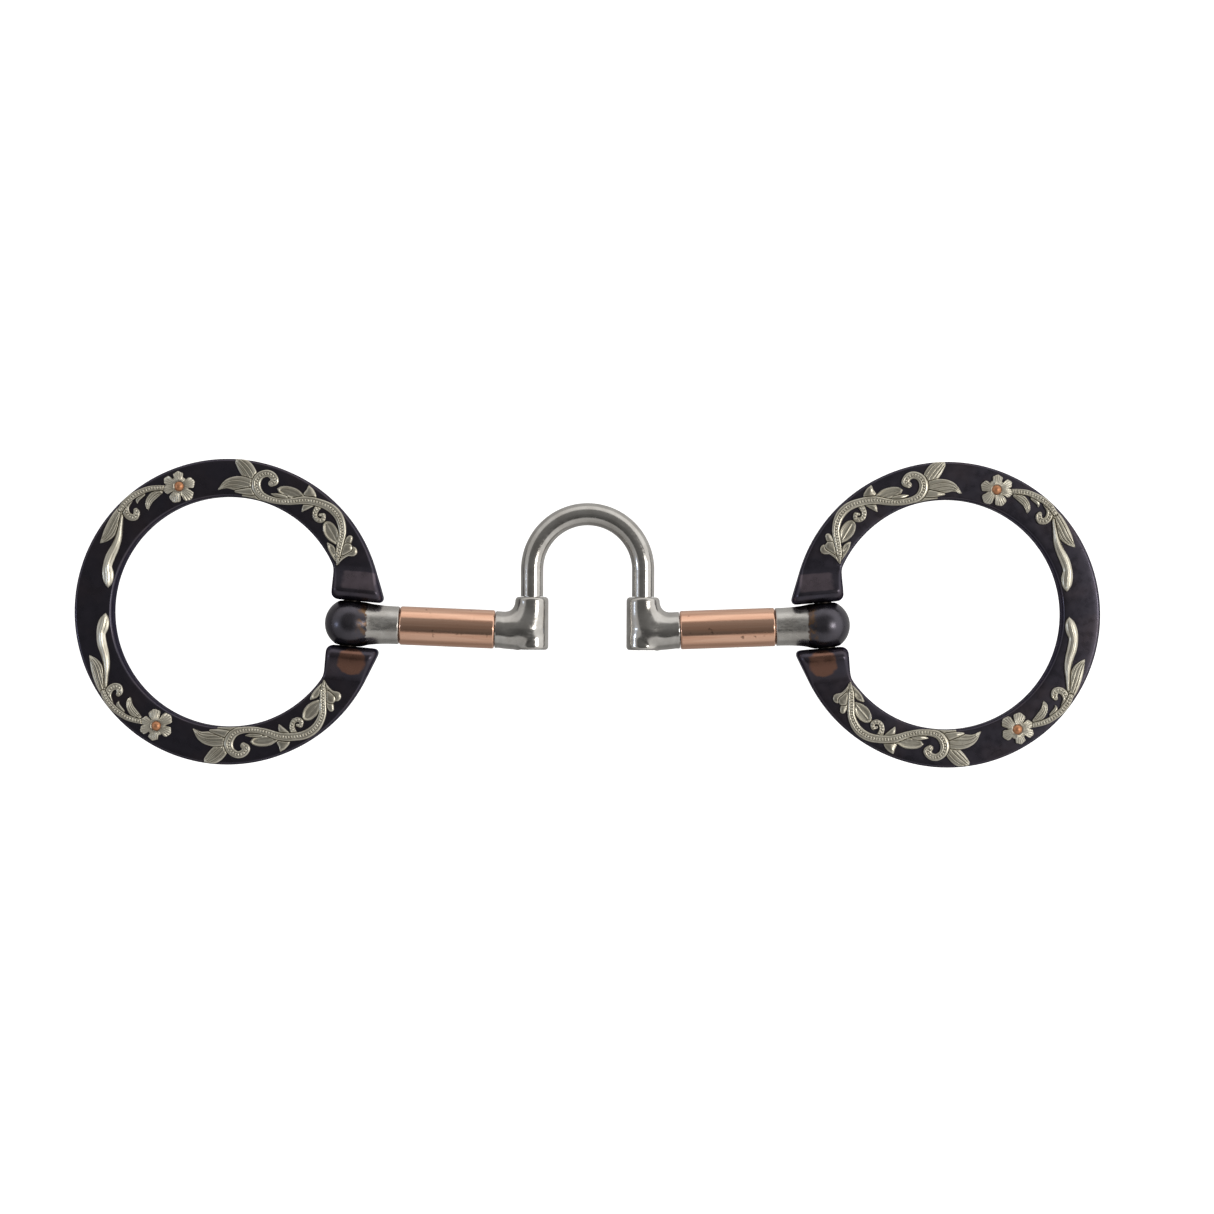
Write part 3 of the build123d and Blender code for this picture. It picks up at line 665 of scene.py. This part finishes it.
def mix(nodes, links, share, first, second, blend="MIX"):
    made = node(nodes, "ShaderNodeMix", data_type="RGBA", blend_type=blend)
    for socket, value in ((made.inputs[0], share), (made.inputs[6], first), (made.inputs[7], second)):
        if isinstance(value, bpy.types.NodeSocket):
            links.new(value, socket)
        else:
            socket.default_value = value if isinstance(value, (int, float)) else (*value, 1)
    return made.outputs[2]


def remap(nodes, links, value, low, high, from_low=0.0, from_high=1.0):
    made = node(nodes, "ShaderNodeMapRange")
    made.inputs["From Min"].default_value = from_low
    made.inputs["From Max"].default_value = from_high
    made.inputs["To Min"].default_value = low
    made.inputs["To Max"].default_value = high
    links.new(value, made.inputs["Value"])
    return made.outputs["Result"]


def bump(nodes, links, shader, height, strength, distance, after=None):
    made = node(nodes, "ShaderNodeBump", in_Strength=strength, in_Distance=distance)
    links.new(height, made.inputs["Height"])
    if after:
        links.new(after, made.inputs["Normal"])
    links.new(made.outputs["Normal"], shader.inputs["Normal"])
    return made.outputs["Normal"]


def blued_surface(nodes, links, coords, shader):
    """Colour of the dark oxide finish and its roughness value, with its bump linked to the shader."""
    cloud = noise(nodes, links, coords, 120, 5, seed=3.1)
    blotch = noise(nodes, links, coords, 420, 6, seed=7.7)
    fine = noise(nodes, links, coords, 2600, 3, seed=1.3)
    patch = ramp(nodes, links, cloud, (0.45, 0.0), (0.72, 0.6))
    colour = mix(nodes, links, patch, (0.074, 0.069, 0.090), (0.098, 0.078, 0.088))
    blotched = remap(nodes, links, blotch, 0.0, 0.3, 0.45, 0.75)
    colour = mix(nodes, links, blotched, colour, (0.052, 0.047, 0.056))
    grain = bump(nodes, links, shader, fine, 0.3, 0.000002)
    bump(nodes, links, shader, blotch, 0.3, 0.000012, grain)
    return colour, remap(nodes, links, blotch, 0.25, 0.38, 0.35, 0.7)


def value_named(nodes, name):
    return node(nodes, "ShaderNodeAttribute", attribute_name=name).outputs["Fac"]


def blued_steel():
    """Dark oxide on forged steel, with a painted brown and a painted violet reflection on the hinge blocks'
    upper faces.
    """
    material, nodes, links, shader = new_material("blued_ring")
    coords = node(nodes, "ShaderNodeTexCoord")
    colour, rough = blued_surface(nodes, links, coords, shader)
    ragged = noise(nodes, links, coords, 900, 5, seed=4.4)
    # painted reflections: brown and violet tints laid over the oxide on the blocks' upper faces
    for name, tint in (("brown", (0.24, 0.125, 0.09)), ("violet", (0.17, 0.14, 0.165))):
        spread = node(nodes, "ShaderNodeMath", operation="MULTIPLY_ADD")
        links.new(ragged, spread.inputs[0])
        spread.inputs[1].default_value = 0.5
        links.new(value_named(nodes, name), spread.inputs[2])
        share = ramp(nodes, links, spread.outputs["Value"], (0.55, 0.0), (1.0, 0.95))
        colour = mix(nodes, links, share, colour, tint)
    links.new(colour, shader.inputs["Base Color"])
    links.new(rough, shader.inputs["Roughness"])
    shader.inputs["Metallic"].default_value = 1.0
    shader.inputs["Specular Tint"].default_value = (0.25, 0.24, 0.3, 1)
    return material


def steel_surface(nodes, links, coords, shader):
    """Colour of satin steel and its roughness value, with its bump linked to the shader."""
    cloud = noise(nodes, links, coords, 260, 5, seed=6.1)
    fine = noise(nodes, links, coords, 3000, 3, seed=2.9)
    marks = noise(nodes, links, coords, 500, 5, stretch=(1, 3, 1), distortion=0.6, seed=8.2)
    colour = mix(nodes, links, ramp(nodes, links, cloud, (0.38, 0.0), (0.66, 1.0)),
                 (0.60, 0.585, 0.56), (0.50, 0.48, 0.455))
    grain = bump(nodes, links, shader, fine, 0.3, 0.000002)
    bump(nodes, links, shader, cloud, 0.35, 0.00003, grain)
    return colour, remap(nodes, links, marks, 0.13, 0.24, 0.35, 0.7)


def satin_steel():
    """Satin cast steel: faint clouding, a fine grain and small handling marks."""
    material, nodes, links, shader = new_material("cast_steel")
    coords = node(nodes, "ShaderNodeTexCoord")
    colour, rough = steel_surface(nodes, links, coords, shader)
    links.new(colour, shader.inputs["Base Color"])
    links.new(rough, shader.inputs["Roughness"])
    shader.inputs["Metallic"].default_value = 1.0
    return material


def ball_to_neck():
    """Blued ball whose finish breaks up in brown streaks and gives way to bare steel on the neck."""
    material, nodes, links, shader = new_material("ball_and_neck")
    coords = node(nodes, "ShaderNodeTexCoord")
    steel, steel_rough = steel_surface(nodes, links, coords, shader)
    blued, blued_rough = blued_surface(nodes, links, coords, shader)
    ragged = noise(nodes, links, coords, 650, 6, seed=12.0)
    place = node(nodes, "ShaderNodeMath", operation="MULTIPLY_ADD")
    links.new(ragged, place.inputs[0])
    place.inputs[1].default_value = 2.4
    links.new(value_named(nodes, "along"), place.inputs[2])
    bare = remap(nodes, links, place.outputs["Value"], 0.0, 1.0, 6.1, 6.5)
    streaks = remap(nodes, links, place.outputs["Value"], 0.0, 1.0, 3.2, 5.0)
    flecks = ramp(nodes, links, noise(nodes, links, coords, 520, 5, seed=15.5), (0.46, 0.0), (0.62, 0.9))
    brown = node(nodes, "ShaderNodeMath", operation="MULTIPLY")
    links.new(streaks, brown.inputs[0])
    links.new(flecks, brown.inputs[1])
    dull = mix(nodes, links, 0.5, blued, (0.13, 0.125, 0.14))
    colour = mix(nodes, links, brown.outputs["Value"], dull, (0.22, 0.13, 0.07))
    links.new(mix(nodes, links, bare, colour, steel), shader.inputs["Base Color"])
    rough = node(nodes, "ShaderNodeMix")
    links.new(bare, rough.inputs[0])
    links.new(blued_rough, rough.inputs[2])
    links.new(remap(nodes, links, steel_rough, 0.24, 0.4, 0.13, 0.24), rough.inputs[3])
    links.new(rough.outputs[0], shader.inputs["Roughness"])
    shader.inputs["Metallic"].default_value = 1.0
    return material


def nickel_silver():
    """Warm white metal with dark grime and painted shade in its grooves and a worn, cloudy shine."""
    material, nodes, links, shader = new_material("nickel_silver")
    coords = node(nodes, "ShaderNodeTexCoord")
    cloud = noise(nodes, links, coords, 300, 5, seed=2.2)
    fine = noise(nodes, links, coords, 3200, 4, seed=5.5)
    bright = mix(nodes, links, ramp(nodes, links, cloud, (0.35, 0.0), (0.65, 1.0)),
                 (0.68, 0.65, 0.555), (0.56, 0.525, 0.435))
    # grooves darkened by depth: partly real grime, partly painted shade
    grime_and_shade = ramp(nodes, links, value_named(nodes, "recess"), (0.1, 0.0), (0.8, 1.0))
    links.new(mix(nodes, links, grime_and_shade, bright, (0.11, 0.095, 0.07)), shader.inputs["Base Color"])
    links.new(remap(nodes, links, grime_and_shade, 1.0, 0.5), shader.inputs["Metallic"])
    links.new(remap(nodes, links, fine, 0.27, 0.40, 0.3, 0.7), shader.inputs["Roughness"])
    grain = bump(nodes, links, shader, fine, 0.4, 0.000004)
    bump(nodes, links, shader, cloud, 0.3, 0.00003, grain)
    return material


def turned_metal(name, base, stain, axis, rough, scratch):
    """Turned metal: fine rings square to the axis, lengthwise stains and a few dark marks."""
    material, nodes, links, shader = new_material(name)
    coords = node(nodes, "ShaderNodeTexCoord")
    # the left half of the bit mirrors the right, so X counts from the middle
    split = node(nodes, "ShaderNodeSeparateXYZ")
    links.new(coords.outputs["Object"], split.inputs[0])
    outwards = node(nodes, "ShaderNodeMath", operation="ABSOLUTE")
    links.new(split.outputs["X"], outwards.inputs[0])
    folded = node(nodes, "ShaderNodeCombineXYZ")
    links.new(outwards.outputs["Value"], folded.inputs["X"])
    links.new(split.outputs["Y"], folded.inputs["Y"])
    links.new(split.outputs["Z"], folded.inputs["Z"])
    turned = node(nodes, "ShaderNodeMapping")
    turned.inputs["Rotation"].default_value = (0, 0, -math.atan2(axis[1], axis[0]))
    links.new(folded.outputs["Vector"], turned.inputs["Vector"])
    uneven = node(nodes, "ShaderNodeMapping")
    uneven.inputs["Location"].default_value = (0.37, 0.11, 0.05)
    links.new(coords.outputs["Object"], uneven.inputs["Vector"])

    def pattern(source, scale, stretch, detail):
        shifted = node(nodes, "ShaderNodeMapping")
        shifted.inputs["Scale"].default_value = stretch
        links.new(source.outputs["Vector"], shifted.inputs["Vector"])
        made = node(nodes, "ShaderNodeTexNoise", in_Scale=scale, in_Detail=detail)
        links.new(shifted.outputs["Vector"], made.inputs["Vector"])
        return made.outputs["Fac"]

    rings = pattern(turned, 900, (1, 0.05, 0.05), 5)
    streaks = pattern(turned, 700, (0.06, 1, 1), 4)
    spots = pattern(uneven, 420, (1, 1, 1), 7)
    colour = mix(nodes, links, ramp(nodes, links, streaks, (0.38, 0.0), (0.68, 1.0)), base, stain)
    marks = ramp(nodes, links, spots, (0.66, 0.0), (0.73, 0.85))
    colour = mix(nodes, links, marks, colour, tuple(0.3 * c for c in stain))
    links.new(colour, shader.inputs["Base Color"])
    shader.inputs["Metallic"].default_value = 1.0
    links.new(remap(nodes, links, streaks, rough, rough + 0.14, 0.35, 0.75), shader.inputs["Roughness"])
    grain = bump(nodes, links, shader, rings, scratch, 0.00001)
    bump(nodes, links, shader, spots, 0.3, 0.00003, grain)
    return material


blued_ring = blued_steel()
ball_and_neck = ball_to_neck()
ornament_metal = nickel_silver()
copper = turned_metal("copper", (0.95, 0.60, 0.44), (0.80, 0.46, 0.32), bar_axis, 0.13, 0.4)
rivet_copper = turned_metal("rivet_copper", (0.70, 0.34, 0.18), (0.50, 0.24, 0.13), (0, 0, 1), 0.42, 0.3)
cast_steel = satin_steel()
stainless = turned_metal("stainless", (0.60, 0.59, 0.57), (0.48, 0.46, 0.44), bar_axis, 0.12, 0.3)
# painted shade: the pin is coloured nearly black so the narrow gap between ball and block, where it shows,
# reads dark
pin_metal_with_painted_shade = turned_metal("pin_metal_with_painted_shade", (0.06, 0.055, 0.05), (0.04, 0.032, 0.028), pin_axis, 0.35, 0.3)

# ------------------------------------------------------------------ pieces
def place_mirrored(points, side):
    return points * (side, 1, 1)


def set_value(obj, name, values):
    """Per-vertex number that a material reads by name."""
    stored = obj.data.attributes.new(name, "FLOAT", "POINT")
    stored.data.foreach_set("value", np.asarray(values, np.float32))


RELIEFS = {"vine": relief(VINE, False), "spray": relief(SPRAY, True)}
ring_points, ring_faces, ring_brown_reflection, ring_violet_reflection = ring_mesh()
elbow_points, elbow_faces = skin(elbow_field, (LEG_X - 6, -12.2, MID_Z - 6.2), (29.2, 6, MID_Z + 6.2))
end_points, end_faces = skin(arm_end_field, (52.5, -12.2, MID_Z - 8), (77.5, 5.5, MID_Z + 8))
end_along = arm_places(end_points)[0]
for side_name, side in SIDES:
    ring_body = f"{side_name}_ring"
    arm_body = f"{side_name}_arm"
    ring = new_object(f"{side_name}_ring_forged", ring_to_world(ring_points, side, False),
                      wound(ring_faces, side < 0), blued_ring, 50)
    set_value(ring, "brown", ring_brown_reflection)
    set_value(ring, "violet", ring_violet_reflection)
    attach(ring, ring_body)
    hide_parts(f"{side_name}_ring")
    for flip in (False, True):
        make_relief("vine", side, flip, ring_body, ornament_metal)
        make_relief("spray", side, flip, ring_body, ornament_metal)
    elbow = new_object(f"{side_name}_elbow_cast", place_mirrored(elbow_points, side),
                       wound(elbow_faces, side < 0), cast_steel, 40)
    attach(elbow, arm_body)
    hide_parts(f"{side_name}_elbow")
    end = new_object(f"{side_name}_arm_end", place_mirrored(end_points, side),
                     wound(end_faces, side < 0), ball_and_neck, 40)
    set_value(end, "along", end_along)
    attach(end, arm_body)
    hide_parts(f"{side_name}_ball", f"{side_name}_neck")

NODE_LOOKS = (
    ("port_bar", cast_steel, "stainless"),
    ("port_end_burr", cast_steel, "stainless"),
    ("axle", stainless, "stainless"),
    ("pivot_pin", pin_metal_with_painted_shade, "pin_steel"),
    ("roller", copper, "copper"),
    ("flower_rivet", rivet_copper, "copper"),
)
for name, obj in frame["nodes"].items():
    for ending, material, slot in NODE_LOOKS:
        if name.endswith(ending):
            obj.data.materials.clear()
            obj.data.materials.append(material)
            obj.data.shade_smooth()
            obj.data.set_sharp_from_angle(angle=math.radians(30))

# ------------------------------------------------------------------ floor, light and camera
scene = bpy.context.scene
floor_mesh = bpy.data.meshes.new("floor")
FLOOR_HALF = 3
FLOOR_DROP = 0.1             # low enough for the rings to hang clear of it when the arms swing down
floor_corners = [(FLOOR_HALF * x, FLOOR_HALF * y, 0) for x, y in ((-1, -1), (1, -1), (1, 1), (-1, 1))]
floor_mesh.from_pydata(floor_corners, [], [(0, 1, 2, 3)])
floor = bpy.data.objects.new("floor", floor_mesh)
scene.collection.objects.link(floor)
floor_material, _, _, floor_shader = new_material("floor")
floor_shader.inputs["Base Color"].default_value = (0.8, 0.8, 0.8, 1)
floor_shader.inputs["Roughness"].default_value = 0.8
floor_shader.inputs["Emission Color"].default_value = (1, 1, 1, 1)
floor_shader.inputs["Emission Strength"].default_value = 0.8
floor_mesh.materials.append(floor_material)
floor.visible_glossy = False
floor.location.z = -FLOOR_DROP

# a pale studio, brighter towards +X and +Y, with a dim oval ceiling
WALL_LIGHT = 0.76
WALL_SLOPE = (0.30, 0.26, 0)
TABLE_SHARE = 0.56           # of the walls' light, below the horizon
CEILING_LIGHT = 0.155
CEILING_SLOPE = (0.03, 0.14, 0)
CEILING_SHIFT = 0.09
CEILING_HALF = 0.70
world = bpy.data.worlds.new("studio")
scene.world = world
world.use_nodes = True
sky_nodes = world.node_tree.nodes
sky_links = world.node_tree.links
sky = sky_nodes["Background"]
direction = node(sky_nodes, "ShaderNodeTexCoord")


def sky_dot(vector, source):
    made = node(sky_nodes, "ShaderNodeVectorMath", operation="DOT_PRODUCT")
    made.inputs[1].default_value = vector
    sky_links.new(source.outputs[0], made.inputs[0])
    return made.outputs["Value"]


walls = node(sky_nodes, "ShaderNodeMath", operation="ADD")
walls.inputs[1].default_value = WALL_LIGHT
sky_links.new(sky_dot(WALL_SLOPE, direction), walls.inputs[0])
table_share = node(sky_nodes, "ShaderNodeMapRange")
table_share.inputs["From Min"].default_value = -0.12
table_share.inputs["From Max"].default_value = 0.06
table_share.inputs["To Min"].default_value = TABLE_SHARE
sky_links.new(sky_dot((0, 0, 1), direction), table_share.inputs["Value"])
room = node(sky_nodes, "ShaderNodeMath", operation="MULTIPLY")
sky_links.new(walls.outputs["Value"], room.inputs[0])
sky_links.new(table_share.outputs["Result"], room.inputs[1])
ceiling = node(sky_nodes, "ShaderNodeMath", operation="ADD")
ceiling.inputs[1].default_value = CEILING_LIGHT
sky_links.new(sky_dot(CEILING_SLOPE, direction), ceiling.inputs[0])
shifted = node(sky_nodes, "ShaderNodeVectorMath", operation="ADD")
shifted.inputs[1].default_value = (0, -CEILING_SHIFT, 0)
sky_links.new(direction.outputs["Generated"], shifted.inputs[0])
oval = node(sky_nodes, "ShaderNodeVectorMath", operation="MULTIPLY")
oval.inputs[1].default_value = (1 / CEILING_HALF, 1 / CEILING_HALF, 0)
sky_links.new(shifted.outputs[0], oval.inputs[0])
oval_size = node(sky_nodes, "ShaderNodeVectorMath", operation="LENGTH")
sky_links.new(oval.outputs[0], oval_size.inputs[0])
edge = node(sky_nodes, "ShaderNodeMapRange", interpolation_type="SMOOTHSTEP")
edge.inputs["From Min"].default_value = 0.93
edge.inputs["From Max"].default_value = 1.06
below = node(sky_nodes, "ShaderNodeMath", operation="LESS_THAN")
sky_links.new(sky_dot((0, 0, 1), direction), below.inputs[0])
below.inputs[1].default_value = 0.0
beyond = node(sky_nodes, "ShaderNodeMath", operation="ADD")
sky_links.new(oval_size.outputs["Value"], beyond.inputs[0])
sky_links.new(below.outputs["Value"], beyond.inputs[1])
sky_links.new(beyond.outputs["Value"], edge.inputs["Value"])
strength = node(sky_nodes, "ShaderNodeMix")
sky_links.new(edge.outputs["Result"], strength.inputs[0])
sky_links.new(ceiling.outputs["Value"], strength.inputs[2])
sky_links.new(room.outputs["Value"], strength.inputs[3])
sky_links.new(strength.outputs[0], sky.inputs["Strength"])
sky.inputs["Color"].default_value = (1, 0.985, 0.96, 1)


LAMP_DISTANCE = 1.3


def soft_box(name, tilt, toward, size, power, colour):
    """Square area light that points at the bit, tilted off the vertical towards a direction."""
    light = bpy.data.lights.new(name, "AREA")
    light.shape = "SQUARE"
    light.size = size
    light.energy = power
    light.color = colour
    lamp = bpy.data.objects.new(name, light)
    scene.collection.objects.link(lamp)
    flat = Vector((math.cos(math.radians(toward)), math.sin(math.radians(toward)), 0))
    away = flat * math.sin(math.radians(tilt)) + Vector((0, 0, math.cos(math.radians(tilt))))
    lamp.location = away * LAMP_DISTANCE
    lamp.rotation_mode = "QUATERNION"
    lamp.rotation_quaternion = away.to_track_quat("Z", "Y")


soft_box("key_light", 36, 0, 0.34, 3.4, (1, 0.97, 0.92))
soft_box("fill_light", 62, 185, 0.13, 0.75, (0.66, 0.78, 1))

FRAME_WIDTH = 0.352          # metres seen across the picture
CAMERA_HEIGHT = 0.9
CAMERA_SHIFT = (0.00566, 0.00183)
CAMERA_ROLL = 0.24
SENSOR_WIDTH = 36
camera_data = bpy.data.cameras.new("camera")
camera = bpy.data.objects.new("camera", camera_data)
scene.collection.objects.link(camera)
camera_data.sensor_width = SENSOR_WIDTH
camera_data.lens = SENSOR_WIDTH * CAMERA_HEIGHT / FRAME_WIDTH
camera.location = (*CAMERA_SHIFT, MID_Z * MM + CAMERA_HEIGHT)
camera.rotation_euler = (0, 0, math.radians(CAMERA_ROLL))
scene.camera = camera
scene.view_settings.view_transform = "Standard"

bpy.context.view_layer.update()
